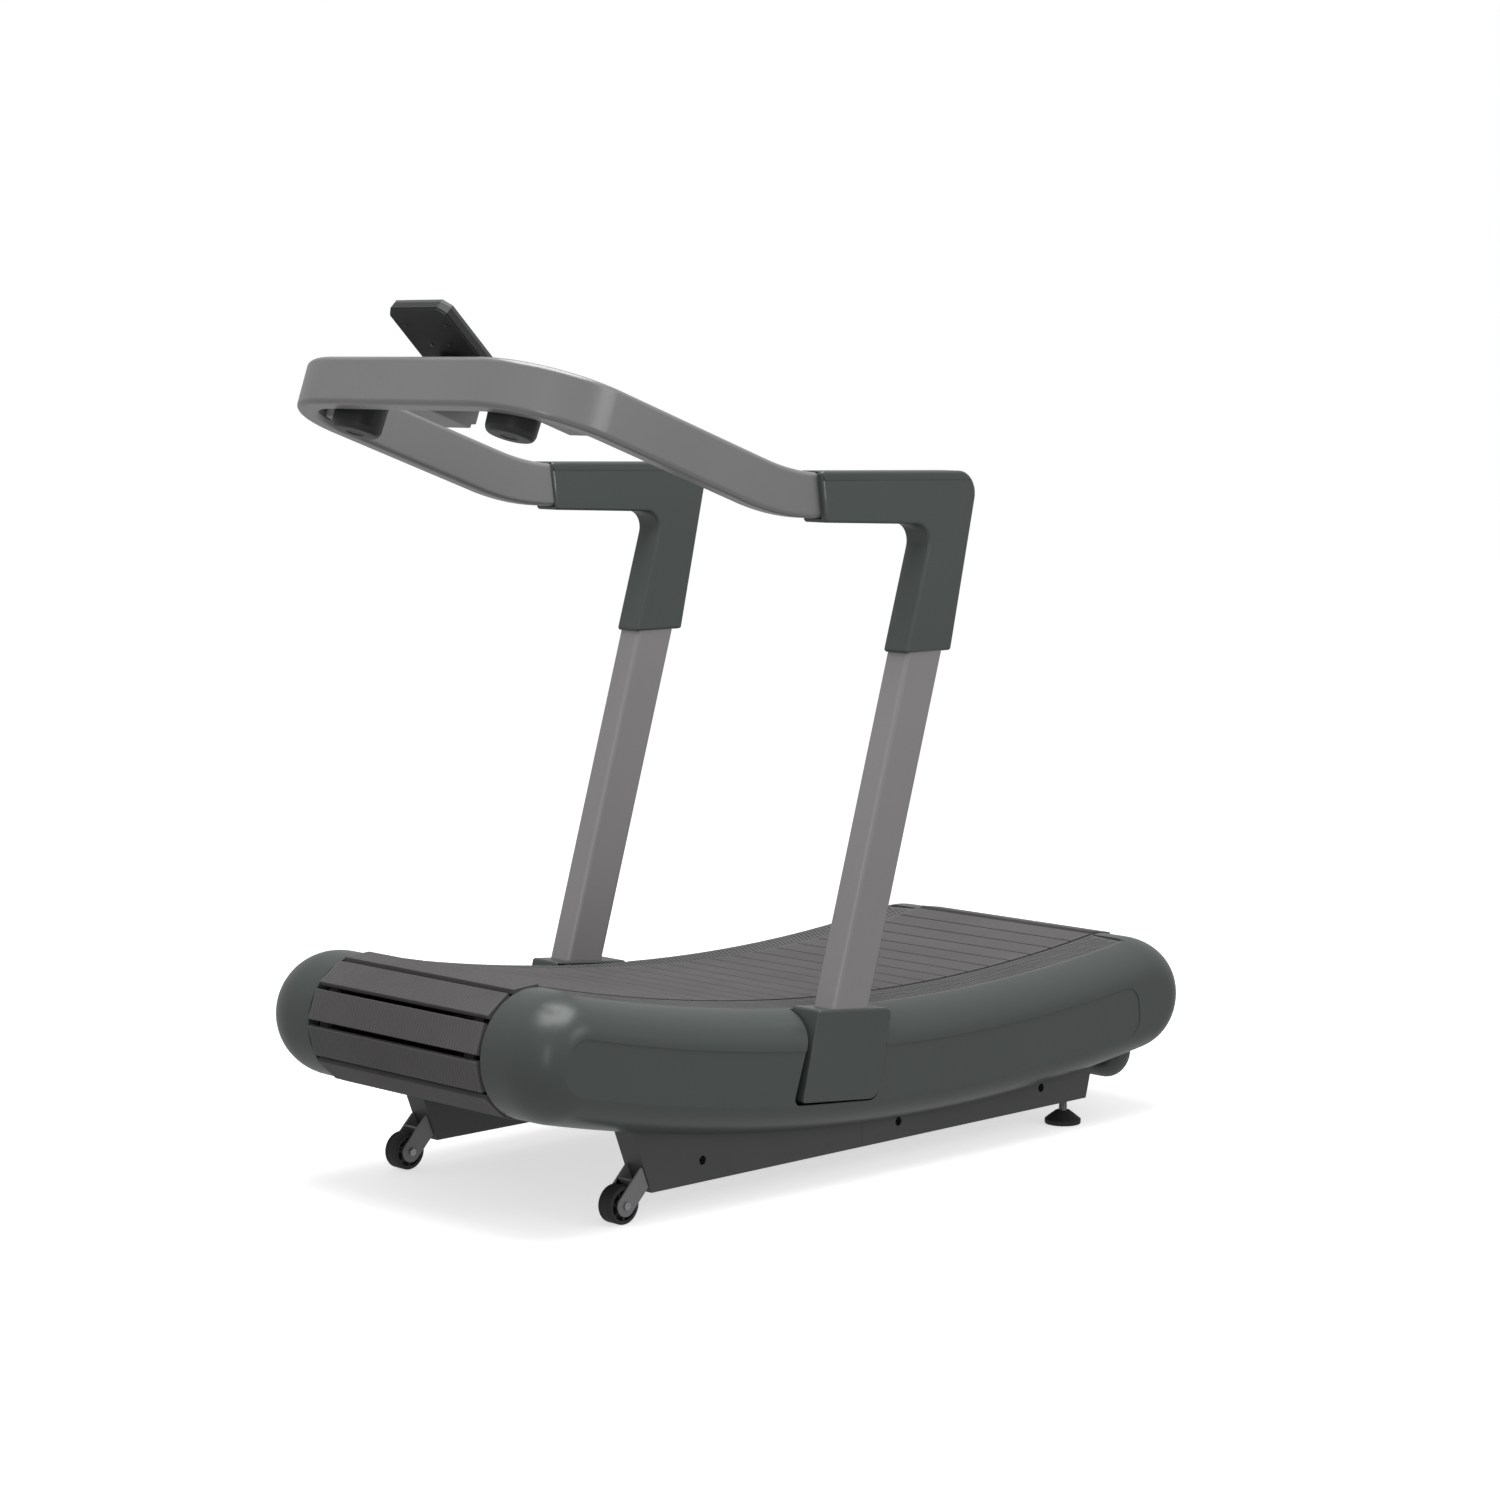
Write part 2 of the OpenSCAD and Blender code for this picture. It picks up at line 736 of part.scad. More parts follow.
module foot_stem(s) {
  color([0.45, 0.45, 0.46])
    on_side(s)
      translate([foot_x, foot_y, 0])
        rotate_extrude()
          polygon([[0, 8], [7, 8], [8.5, 10], [8.5, 104], [7.5, 106], [0, 106]]);
}

module foot_pad(s) {
  color([0.07, 0.07, 0.07])
    on_side(s)
      translate([foot_x, foot_y, 0])
        rotate_extrude()
          polygon([[0, 0], [pad_d / 2 - 1.5, 0], [pad_d / 2, 1.5], [pad_d / 2, 10], [26, 18], [14, 27],
            [8.6, 27], [8.6, 9.8], [7.1, 7.9], [0, 7.9]]);
}

module foot_nuts() {
  color([0.5, 0.5, 0.52])
    for (s = [-1, 1])
      on_side(s)
        translate([foot_x, foot_y, 54.1])
          difference() {
            cylinder(r = 15, h = 14, $fn = 6);
            translate([0, 0, -1]) cylinder(r = 8.56, h = 16);
          }
}

module tube_ring() {
  difference() {
    circle(r = 20);
    circle(r = 16.5);
  }
}

module handle_side() {
  translate([297.5, 781, 127]) linear_extrude(54) tube_ring();
  translate([252.5, 781, 127])
    rotate([-90, 0, 0])
      rotate_extrude(angle = 90)
        translate([45, 0])
          tube_ring();
}

module rear_handle() {
  color([0.33, 0.34, 0.34]) {
    handle_side();
    mirror([1, 0, 0]) handle_side();
    translate([-252.5, 781, 82]) rotate([0, 90, 0]) linear_extrude(505) tube_ring();
  }
}

placed() top_slats();
placed() rear_wrap_slats();
placed() bottom_slats();
placed() front_wrap_slats();
placed() top_belts();
placed() rear_wrap_belts();
placed() bottom_belts();
placed() front_wrap_belts();
placed() front_shaft();
placed() front_pulleys();
placed() rear_shaft();
placed() rear_pulleys();
placed() drum_bearing_units();
placed() side_plate(-1);  // left_side_plate
placed() side_plate(1);  // right_side_plate
placed() guide_bearings(-1);  // left_guide_bearings
placed() guide_bearings(1);  // right_guide_bearings
placed() guide_bearing_studs();
placed() cross_members();
placed() front_rail(-1);  // left_front_rail
placed() rear_rail(-1);  // left_rear_rail
placed() front_rail(1);  // right_front_rail
placed() rear_rail(1);  // right_rear_rail
placed() rail_bolts();
placed() side_cover(-1);  // left_side_cover
placed() side_cover(1);  // right_side_cover
placed() tread_strip(-1);  // left_tread_strip
placed() tread_strip(1);  // right_tread_strip
placed() foot_cover(-1);  // left_foot_cover
placed() foot_cover(1);  // right_foot_cover
placed() upright_brackets();
placed() upright(-1);  // left_upright
placed() upright(1);  // right_upright
placed() handle_cover(-1);  // left_handle_cover
placed() handle_cover(1);  // right_handle_cover
placed() handlebar();
placed() accessory_tray();
placed() cup_holder(-1);  // left_cup_holder
placed() cup_holder(1);  // right_cup_holder
placed() console_mount();
placed() console_back();
placed() console_face();
placed() console_display();
placed() console_screws();
placed() mode_button();
placed() start_button();
placed() stop_button();
placed() wheel_fork(-1);  // left_wheel_fork
placed() wheel_fork(1);  // right_wheel_fork
placed() wheel_tyre(-1);  // left_wheel_tyre
placed() wheel_tyre(1);  // right_wheel_tyre
placed() wheel_hub(-1);  // left_wheel_hub
placed() wheel_hub(1);  // right_wheel_hub
placed() wheel_axles();
placed() foot_stem(-1);  // left_foot_stem
placed() foot_stem(1);  // right_foot_stem
placed() foot_pad(-1);  // left_foot_pad
placed() foot_pad(1);  // right_foot_pad
placed() foot_nuts();
placed() rear_handle();
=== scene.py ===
"""Looks for the curved manual treadmill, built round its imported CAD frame."""
import bpy
import bmesh
import json
import math
from mathutils import Vector, Matrix


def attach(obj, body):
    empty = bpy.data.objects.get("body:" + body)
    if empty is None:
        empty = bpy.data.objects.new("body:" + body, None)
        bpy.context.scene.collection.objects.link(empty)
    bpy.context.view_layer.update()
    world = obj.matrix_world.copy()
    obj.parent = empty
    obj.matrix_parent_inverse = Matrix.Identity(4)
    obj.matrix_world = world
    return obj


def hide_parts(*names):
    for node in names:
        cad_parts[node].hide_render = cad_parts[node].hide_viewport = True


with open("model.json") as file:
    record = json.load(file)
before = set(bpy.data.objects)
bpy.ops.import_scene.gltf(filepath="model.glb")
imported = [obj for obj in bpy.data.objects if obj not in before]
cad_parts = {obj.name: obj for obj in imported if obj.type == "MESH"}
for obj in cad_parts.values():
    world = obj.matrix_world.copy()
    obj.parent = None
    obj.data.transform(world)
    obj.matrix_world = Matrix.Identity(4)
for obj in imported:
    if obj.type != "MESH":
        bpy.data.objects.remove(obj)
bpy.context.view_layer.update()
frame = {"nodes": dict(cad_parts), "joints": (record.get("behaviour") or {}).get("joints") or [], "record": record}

MM = 0.001
RECORD = frame["record"]
BODY_OF = {n: b for b, ns in RECORD["behaviour"]["bodies"].items() for n in ns}
SLOT_OF = {s["node"]: s["material_slot"] for s in RECORD["subparts"]}
JOINT = {j["name"]: j for j in frame["joints"]}

# Millimetre values of the deck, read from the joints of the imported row
CY, CZ = [v / MM for v in JOINT["belt_top_run"]["pos_m"][1:]]
FY, FZ = [v / MM for v in JOINT["front_drum_spin"]["pos_m"][1:]]
RY, RZ = [v / MM for v in JOINT["rear_drum_spin"]["pos_m"][1:]]
WHEEL_X, WHEEL_Y, WHEEL_Z = [v / MM for v in JOINT["right_wheel_spin"]["pos_m"]]
R_MID = math.hypot(FY - CY, FZ - CZ)
A_FRONT = math.atan2(FY - CY, CZ - FZ)
A_REAR = math.atan2(RY - CY, CZ - RZ)
SHIFT = CY - 200.0
PITCH = 62.71
R_TOP, R_BOT, R_DRUM = 4013.0, 4227.0, 107.0
COVER_HALF = 118.0
COVER_FLAT, COVER_REACH, SHOULDER_DEPTH = 300.0, 102.0, 72.0
PANEL_R, RAIL_TOP_R = 4002.0, 4174.0
FOOT_X, FOOT_Y = 303.3, 594 + SHIFT
rad = math.radians


# ---------------------------------------------------------------- colours and materials
def srgb(r, g, b):
    out = []
    for c in (r, g, b):
        c /= 255
        out.append(c / 12.92 if c <= 0.04045 else ((c + 0.055) / 1.055) ** 2.4)
    return out


def node(tree, kind, **values):
    n = tree.nodes.new(kind)
    for k, v in values.items():
        setattr(n, k, v)
    return n


def noise(tree, coord, scale, detail=2.0, rough=0.5):
    n = node(tree, "ShaderNodeTexNoise")
    n.inputs["Scale"].default_value = scale
    n.inputs["Detail"].default_value = detail
    n.inputs["Roughness"].default_value = rough
    tree.links.new(coord, n.inputs["Vector"])
    return n.outputs["Fac"]


def remap(tree, value, lo, hi, to_lo, to_hi):
    n = node(tree, "ShaderNodeMapRange")
    n.inputs["From Min"].default_value = lo
    n.inputs["From Max"].default_value = hi
    n.inputs["To Min"].default_value = to_lo
    n.inputs["To Max"].default_value = to_hi
    tree.links.new(value, n.inputs["Value"])
    return n.outputs["Result"]


def mix_colour(tree, fac, a, b):
    n = node(tree, "ShaderNodeMix", data_type="RGBA")
    tree.links.new(fac, n.inputs["Factor"])
    for sock, c in ((n.inputs[6], a), (n.inputs[7], b)):
        if isinstance(c, (list, tuple)):
            sock.default_value = (*c, 1.0)
        else:
            tree.links.new(c, sock)
    return n.outputs[2]


def surface(name, colour, rough=0.5, rough_var=0.08, metallic=0.0, mottle=(3.0, 0.06), grain=(900.0, 0.05, 0.0002),
            speck=None, scuff=None, stretch=None, coat=0.0, specular=0.5, detail=3.0):
    """A procedural finish: broad tone changes, fine grain in colour and bump, and optional specks and scuffs."""
    m = bpy.data.materials.new(name)
    m.use_nodes = True
    t = m.node_tree
    t.nodes.clear()
    out = node(t, "ShaderNodeOutputMaterial")
    bsdf = node(t, "ShaderNodeBsdfPrincipled")
    t.links.new(bsdf.outputs["BSDF"], out.inputs["Surface"])
    coord = node(t, "ShaderNodeTexCoord").outputs["Object"]
    fine_coord = coord
    if stretch:
        mp = node(t, "ShaderNodeMapping")
        mp.inputs["Scale"].default_value = stretch
        t.links.new(coord, mp.inputs["Vector"])
        fine_coord = mp.outputs["Vector"]
    broad = noise(t, coord, mottle[0], 3.0)
    fine = noise(t, fine_coord, grain[0], detail, 0.6)
    dark = [c * (1 - mottle[1]) for c in colour]
    light = [min(1.0, c * (1 + mottle[1])) for c in colour]
    col = mix_colour(t, remap(t, broad, 0.3, 0.7, 0.0, 1.0), dark, light)
    col = mix_colour(t, remap(t, fine, 0.25, 0.75, 0.0, 0.22), col, [c * 0.72 for c in colour])
    if speck:
        s_scale, s_cut, s_colour = speck
        spots = noise(t, coord, s_scale, 1.0)
        col = mix_colour(t, remap(t, spots, s_cut, s_cut + 0.03, 0.0, 1.0), col, s_colour)
    rough_out = remap(t, fine, 0.2, 0.8, rough - rough_var, rough + rough_var)
    if scuff:
        c_scale, c_cut, c_gain = scuff
        marks = noise(t, coord, c_scale, 6.0, 0.7)
        mask = remap(t, marks, c_cut, c_cut + 0.06, 0.0, 1.0)
        col = mix_colour(t, mask, col, [min(1.0, c * c_gain) for c in colour])
        add = node(t, "ShaderNodeMath", operation="MULTIPLY_ADD", use_clamp=True)
        t.links.new(mask, add.inputs[0])
        add.inputs[1].default_value = 0.12
        t.links.new(rough_out, add.inputs[2])
        rough_out = add.outputs[0]
    bump = node(t, "ShaderNodeBump")
    bump.inputs["Strength"].default_value = grain[1]
    bump.inputs["Distance"].default_value = grain[2] if grain[2] else 0.0002
    t.links.new(fine, bump.inputs["Height"])
    t.links.new(bump.outputs["Normal"], bsdf.inputs["Normal"])
    t.links.new(col, bsdf.inputs["Base Color"])
    t.links.new(rough_out, bsdf.inputs["Roughness"])
    bsdf.inputs["Metallic"].default_value = metallic
    bsdf.inputs["Specular IOR Level"].default_value = specular
    if coat:
        bsdf.inputs["Coat Weight"].default_value = coat
        bsdf.inputs["Coat Roughness"].default_value = 0.12
    return m


MAT = {
    "slat_rubber": surface("ribbed_slat_rubber", srgb(92, 90, 90), rough=0.78, rough_var=0.1, mottle=(6, 0.08),
                           grain=(1400, 0.35, 0.0003), speck=(700, 0.70, srgb(108, 106, 105)),
                           scuff=(9, 0.66, 1.22), detail=4),
    "belt_rubber": surface("carrier_belt_rubber", srgb(36, 36, 37), rough=0.8, mottle=(12, 0.1), grain=(1800, 0.3, 0.0002)),
    "bright_steel": surface("ground_steel", srgb(168, 168, 171), rough=0.3, rough_var=0.1, metallic=1.0, mottle=(20, 0.06),
                            grain=(700, 0.12, 0.0001), stretch=(0.05, 1, 1)),
    # Painted shade: the pulleys are given a dark colour so that where they show through the gaps between the slats,
    # the gaps read as black shadow instead of bright aluminium.
    "pulley_metal": surface("pulley_aluminium_painted_dark_as_gap_shade", srgb(44, 44, 45), rough=0.5, rough_var=0.1, metallic=0.6,
                            mottle=(18, 0.07), grain=(900, 0.15, 0.0001), stretch=(4, 0.2, 0.2)),
    "bearing_housing": surface("painted_cast_iron", srgb(72, 75, 77), rough=0.55, mottle=(25, 0.12), grain=(600, 0.5, 0.0006)),
    "frame_steel": surface("powder_coated_steel", srgb(72, 74, 73), rough=0.46, rough_var=0.09, mottle=(5, 0.07),
                           grain=(1500, 0.3, 0.00025), scuff=(14, 0.70, 1.35), specular=0.5),
    "bolt_black": surface("black_oxide_bolt", srgb(28, 28, 29), rough=0.38, metallic=0.7, mottle=(60, 0.2), grain=(2000, 0.2, 0.0001)),
    "cover_plastic": surface("moulded_cover_plastic", srgb(73, 79, 77), rough=0.31, rough_var=0.06, mottle=(2.2, 0.05),
                             grain=(1300, 0.16, 0.00022), scuff=(11, 0.73, 1.18), specular=0.5),
    "strip_plastic": surface("grip_strip_plastic", srgb(98, 98, 98), rough=0.62, rough_var=0.1, mottle=(7, 0.08),
                             grain=(1600, 0.35, 0.0003), scuff=(20, 0.66, 1.25)),
    "upright_paint": surface("satin_silver_paint", srgb(150, 147, 147), rough=0.28, rough_var=0.07, metallic=0.25,
                             mottle=(3, 0.03), grain=(2600, 0.12, 0.0001), speck=(2400, 0.68, srgb(172, 169, 169))),
    "bar_paint": surface("satin_grey_bar_paint", srgb(136, 136, 136), rough=0.28, rough_var=0.06, metallic=0.3,
                         mottle=(3, 0.04), grain=(2400, 0.1, 0.0001), speck=(2200, 0.69, srgb(156, 156, 156)),
                         scuff=(16, 0.74, 1.12)),
    "tray_paint": surface("moulded_tray_plastic", srgb(146, 146, 146), rough=0.45, rough_var=0.07, mottle=(5, 0.05),
                          grain=(1300, 0.25, 0.0002)),
    "cup_plastic": surface("black_cup_plastic", srgb(40, 42, 42), rough=0.42, rough_var=0.08, mottle=(8, 0.1),
                           grain=(1200, 0.3, 0.0002)),
    "console_shell": surface("console_shell_plastic", srgb(34, 36, 36), rough=0.5, rough_var=0.08, mottle=(9, 0.08),
                             grain=(1100, 0.45, 0.0003)),
    "console_rim": surface("console_rim_plastic", srgb(76, 78, 78), rough=0.4, rough_var=0.07, mottle=(8, 0.06),
                           grain=(1400, 0.25, 0.0002)),
    "display_lens": surface("display_lens_gloss", srgb(24, 28, 32), rough=0.08, rough_var=0.03, mottle=(30, 0.15),
                            grain=(300, 0.02, 0.0001), coat=1.0),
    "screw_steel": surface("plated_screw", srgb(120, 120, 122), rough=0.3, metallic=1.0, mottle=(90, 0.15), grain=(2500, 0.2, 0.0001)),
    "key_grey": surface("key_plastic_grey", srgb(160, 163, 165), rough=0.42, mottle=(30, 0.05), grain=(1600, 0.2, 0.0001)),
    "key_green": surface("key_plastic_green", srgb(62, 128, 80), rough=0.42, mottle=(30, 0.06), grain=(1600, 0.2, 0.0001)),
    "key_red": surface("key_plastic_red", srgb(168, 38, 32), rough=0.42, mottle=(30, 0.06), grain=(1600, 0.2, 0.0001)),
    "fork_paint": surface("satin_fork_paint", srgb(126, 127, 127), rough=0.4, mottle=(15, 0.06), grain=(1500, 0.3, 0.0002),
                          scuff=(30, 0.68, 1.25)),
    "wheel_rubber": surface("wheel_rubber_matt", srgb(38, 38, 39), rough=0.72, mottle=(25, 0.12), grain=(1500, 0.4, 0.0003),
                            scuff=(60, 0.64, 1.5)),
    "wheel_core": surface("wheel_core_plastic", srgb(48, 49, 50), rough=0.5, mottle=(25, 0.1), grain=(1400, 0.3, 0.0002)),
    "pad_rubber": surface("foot_pad_rubber", srgb(34, 34, 35), rough=0.66, mottle=(25, 0.12), grain=(1300, 0.45, 0.0003),
                          scuff=(70, 0.66, 1.5)),
    "handle_paint": surface("lifting_handle_paint", srgb(84, 88, 87), rough=0.36, rough_var=0.06, mottle=(6, 0.05),
                            grain=(1600, 0.15, 0.00015), scuff=(24, 0.72, 1.25)),
}


# ---------------------------------------------------------------- mesh helpers
def make(name, verts, faces, sharp=30.0):
    me = bpy.data.meshes.new(name)
    me.from_pydata([(v[0] * MM, v[1] * MM, v[2] * MM) for v in verts], [], faces)
    me.validate()
    me.update()
    o = bpy.data.objects.new(name, me)
    bpy.context.scene.collection.objects.link(o)
    tidy_normals(o)
    shade(o, sharp)
    return o


def tidy_normals(o):
    bm = bmesh.new()
    bm.from_mesh(o.data)
    bmesh.ops.recalc_face_normals(bm, faces=bm.faces)
    bm.to_mesh(o.data)
    bm.free()


def shade(o, angle=30.0):
    o.data.shade_smooth()
    o.data.set_sharp_from_angle(angle=rad(angle))


def finish_piece(o, *nodes_for, slot=None):
    """Hands a finished piece to the frame: it stands for the CAD nodes, rides on their body and takes their finish."""
    first = nodes_for[0]
    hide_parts(*nodes_for)
    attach(o, BODY_OF[first])
    s = slot or SLOT_OF[first]
    o.data.materials.clear()
    o.data.materials.append(MAT[s])
    weigh(o)
    return o


def bevel(o, width, segments=2, angle=32.0):
    m = o.modifiers.new("edges", "BEVEL")
    m.width = width * MM
    m.segments = segments
    m.limit_method = "ANGLE"
    m.angle_limit = rad(angle)
    m.harden_normals = True
    m.use_clamp_overlap = True
    return o


def weigh(o):
    """Shading normals weighted by face area, so large flat faces look flat."""
    m = o.modifiers.new("normals", "WEIGHTED_NORMAL")
    m.keep_sharp = True
    m.weight = 80


def applied(o, sharp=None):
    """The same object with its modifiers made real."""
    bpy.context.view_layer.update()
    dg = bpy.context.evaluated_depsgraph_get()
    me = bpy.data.meshes.new_from_object(o.evaluated_get(dg))
    o.modifiers.clear()
    o.data = me
    if sharp is not None:
        shade(o, sharp)
    return o


def cut(o, cutters, sharp=30.0):
    """Takes each cutter's solid out of o, and removes the cutter."""
    for c in cutters:
        m = o.modifiers.new("cut", "BOOLEAN")
        m.operation = "DIFFERENCE"
        m.solver = "EXACT"
        m.object = c
        applied(o)
        bpy.data.objects.remove(c)
    bm = bmesh.new()
    bm.from_mesh(o.data)
    bmesh.ops.remove_doubles(bm, verts=bm.verts, dist=2e-6)
    bmesh.ops.dissolve_degenerate(bm, edges=bm.edges, dist=1e-6)
    bm.to_mesh(o.data)
    bm.free()
    shade(o, sharp)
    return o


def loft(rings, closed_path=False, caps=True):
    """Vertices and faces of a skin over rings of equal length."""
    n = len(rings[0])
    verts = [p for r in rings for p in r]
    faces = []
    last = len(rings) if closed_path else len(rings) - 1
    for i in range(last):
        a, b = i * n, ((i + 1) % len(rings)) * n
        for j in range(n):
            k = (j + 1) % n
            faces.append((a + j, a + k, b + k, b + j))
    if caps and not closed_path:
        faces.append(tuple(range(n - 1, -1, -1)))
        faces.append(tuple((len(rings) - 1) * n + j for j in range(n)))
    return verts, faces


def joined(parts):
    """One vertex and face list from several."""
    verts, faces = [], []
    for v, f in parts:
        off = len(verts)
        verts += list(v)
        faces += [tuple(i + off for i in q) for q in f]
    return verts, faces


def rounded(points, n=8):
    """Outline with its corners rounded: each point is (u, v, radius)."""
    out = []
    m = len(points)
    for i, p in enumerate(points):
        if p[2] <= 0:
            out.append((p[0], p[1]))
            continue
        p0, p1, p2 = (Vector(q[:2]) for q in (points[i - 1], p, points[(i + 1) % m]))
        a = (p0 - p1).normalized()
        b = (p2 - p1).normalized()
        half = math.acos(max(-1, min(1, a.dot(b)))) / 2
        c = p1 + (a + b).normalized() * p[2] / math.sin(half)
        s = p1 + a * p[2] / math.tan(half) - c
        e = p1 + b * p[2] / math.tan(half) - c
        a0 = math.atan2(s.y, s.x)
        da = (math.degrees(math.atan2(e.y, e.x) - a0) + 540) % 360 - 180
        out += [(c.x + p[2] * math.cos(a0 + rad(da) * k / n), c.y + p[2] * math.sin(a0 + rad(da) * k / n))
                for k in range(n + 1)]
    return out


def prism_x(name, outline, x0, x1, shift=SHIFT, sharp=30.0):
    rings = [[(x, p[0] + shift, p[1]) for p in outline] for x in (x0, x1)]
    return make(name, *loft(rings), sharp=sharp)


def lathe(profile, place, segs=64):
    """A closed (radius, height) profile turned about the local z axis, put in place by a function."""
    rings = []
    for i in range(segs):
        a = 2 * math.pi * i / segs
        rings.append([place(r * math.cos(a), r * math.sin(a), h) for r, h in profile])
    return loft(rings, closed_path=True)


def mirrored(o, name):
    c = o.copy()
    c.data = o.data.copy()
    c.name = name
    c.data.transform(Matrix.Scale(-1, 4, (1, 0, 0)))
    c.data.flip_normals()
    bpy.context.scene.collection.objects.link(c)
    return c


def pair(o, right_node):
    """Finishes a right-hand piece and its mirror image on the left."""
    left = mirrored(o, right_node.replace("right_", "left_") + "_piece")
    o.name = right_node + "_piece"
    finish_piece(o, right_node)
    finish_piece(left, right_node.replace("right_", "left_"))
    return o, left


def on_x(cx, cy, cz):
    """Puts a lathe's axis along x."""
    return lambda u, v, h: (cx + h, cy + u, cz + v)


def refine(name, width, segments=2, angle=32.0, sharp=30.0):
    """A clean copy of a CAD node with its sharp edges rounded."""
    src = frame["nodes"][name]
    o = bpy.data.objects.new(name + "_piece", src.data.copy())
    o.matrix_world = Matrix.Identity(4)
    bpy.context.scene.collection.objects.link(o)
    bm = bmesh.new()
    bm.from_mesh(o.data)
    bmesh.ops.remove_doubles(bm, verts=bm.verts, dist=5e-6)
    bmesh.ops.dissolve_degenerate(bm, edges=bm.edges, dist=1e-6)
    bmesh.ops.dissolve_limit(bm, angle_limit=rad(0.2), verts=bm.verts, edges=bm.edges)
    bm.to_mesh(o.data)
    bm.free()
    if o.data.has_custom_normals:
        o.data.attributes.remove(o.data.attributes["custom_normal"])
    shade(o, sharp)
    if width:
        bevel(o, width, segments, angle)
    return finish_piece(o, name)


# ---------------------------------------------------------------- running belt
SLAT_HALF, SLAT_X = 28.75, 240.0
RIB_PITCH, RIB_COUNT = 8.0, 58


def slat_mesh():
    """One slat at z = 0: ribbed tread, softened long edges, stiffening web below."""
    line = [(-SLAT_X, -9.7), (-SLAT_X, -0.9), (-SLAT_X + 0.9, 0)]
    for i in range(RIB_COUNT):
        x = (i - (RIB_COUNT - 1) / 2) * RIB_PITCH
        line += [(x - 0.9, 0), (x - 0.5, -0.6), (x + 0.5, -0.6), (x + 0.9, 0)]
    line += [(SLAT_X - 0.9, 0), (SLAT_X, -0.9), (SLAT_X, -9.7)]
    rings = []
    for y, e in ((-SLAT_HALF, 1.3), (-SLAT_HALF + 0.35, 0.55), (-SLAT_HALF + 1.1, 0), (SLAT_HALF - 1.1, 0),
                 (SLAT_HALF - 0.35, 0.55), (SLAT_HALF, 1.3)):
        rings.append([(x, y, min(z, -e)) for x, z in line])
    web = [[(x, y, z) for y, z in ((-4, -9.6), (4, -9.6), (4, -27), (3, -28), (-3, -28), (-4, -27))] for x in (-188, 188)]
    return joined([loft(rings), loft(web)])


SLAT_V, SLAT_F = slat_mesh()


def turned(v, angle, cy, cz, radius, flip=1):
    """The slat's own point, set at a radius and turned about x."""
    x, y, z = v
    z = z * flip + radius
    return (x, cy + y * math.cos(angle) - z * math.sin(angle), cz + y * math.sin(angle) + z * math.cos(angle))


def slat_group(node_name, spots):
    parts = [([turned(v, *s) for v in SLAT_V], SLAT_F) for s in spots]
    o = make(node_name + "_piece", *joined(parts), sharp=25)
    finish_piece(o, node_name)


STEP_TOP, STEP_BOT, STEP_DRUM = PITCH / R_TOP, PITCH / R_BOT, PITCH / R_DRUM
slat_group("top_slats", [(A_FRONT + (k + 0.5) * STEP_TOP, CY, CZ, -4000) for k in range(24)])
slat_group("bottom_slats", [(A_REAR - 8.75 / R_BOT - k * STEP_BOT, CY, CZ, -4240, -1) for k in range(26)])
slat_group("front_wrap_slats", [(A_FRONT + (k + 0.5) * STEP_DRUM, FY, FZ, 120) for k in range(5)])
slat_group("rear_wrap_slats", [(A_REAR - (k + 0.5) * STEP_DRUM, RY, RZ, 120) for k in range(5)])


# ---------------------------------------------------------------- side covers
def shoulder(t, reach=COVER_REACH, base=0.0):
    """A point (x, depth) of the quarter-ellipse shoulder."""
    return (COVER_FLAT + reach * math.sin(t), base + SHOULDER_DEPTH * (1 - math.cos(t)))


def inset(x):
    """How far the shoulder lies below the plain outline at x."""
    u = min(1.0, max(0.0, (x - COVER_FLAT) / COVER_REACH))
    return SHOULDER_DEPTH * (1 - math.sqrt(1 - u * u))


SHOULDER_STEPS = 22
T0 = math.asin(34 / COVER_REACH)
TS = [T0 + (math.pi / 2 - T0) * i / SHOULDER_STEPS for i in range(SHOULDER_STEPS + 1)]
BED_EDGE = 329.8
SHOULDER = [shoulder(t) for t in TS] + [(402, 76)]
OUT_CAP = [(245, 24), (245, 2), (245.6, 0.6), (247, 0), (290, 0), (310, inset(310)), (320, inset(320)),
           (BED_EDGE, inset(BED_EDGE)), (330.1, inset(330.1)), (331.2, inset(331.2))] + SHOULDER
OUT_RUN = [(245, 24), (245, 5.2), (245.6, 3.8), (247, 3.5), (290, 5.6), (310, 6.7), (320, 7.2),
           (BED_EDGE, 7.7), (330.1, inset(330.1) + 0.5), (331.2, inset(331.2) + 0.05)] + SHOULDER
TI = [rad(21) + rad(69) * i / 14 for i in range(15)]
IN_WALL = [shoulder(t, reach=98, base=4) for t in TI]
IN_CAP = [(249, 24), (249, 6), (290, 6), (325, 6.9)] + IN_WALL
IN_RUN = [(249, 24), (249, 10), (290, 11), (BED_EDGE, 12.2)]
IN_RUN += [(x, max(d, 12.2 + 0.16 * (x - BED_EDGE))) for x, d in IN_WALL]


def cover_stations():
    """(y, z, outward y, outward z, on the top run) once round the cover."""
    out = []
    tiny = 0.3 / PANEL_R
    for i in range(97):
        a = A_FRONT + tiny + (A_REAR - A_FRONT - 2 * tiny) * i / 96
        out.append((CY + R_MID * math.sin(a), CZ - R_MID * math.cos(a), -math.sin(a), math.cos(a), True))
    for i in range(41):
        p = math.pi / 2 + A_REAR - math.pi * i / 40
        out.append((RY, RZ, math.cos(p), math.sin(p), False))
    for i in range(1, 96):
        a = A_REAR - (A_REAR - A_FRONT) * i / 96
        out.append((CY + R_MID * math.sin(a), CZ - R_MID * math.cos(a), math.sin(a), -math.cos(a), False))
    for i in range(41):
        p = 3 * math.pi / 2 + A_FRONT - math.pi * i / 40
        out.append((FY, FZ, math.cos(p), math.sin(p), False))
    return out


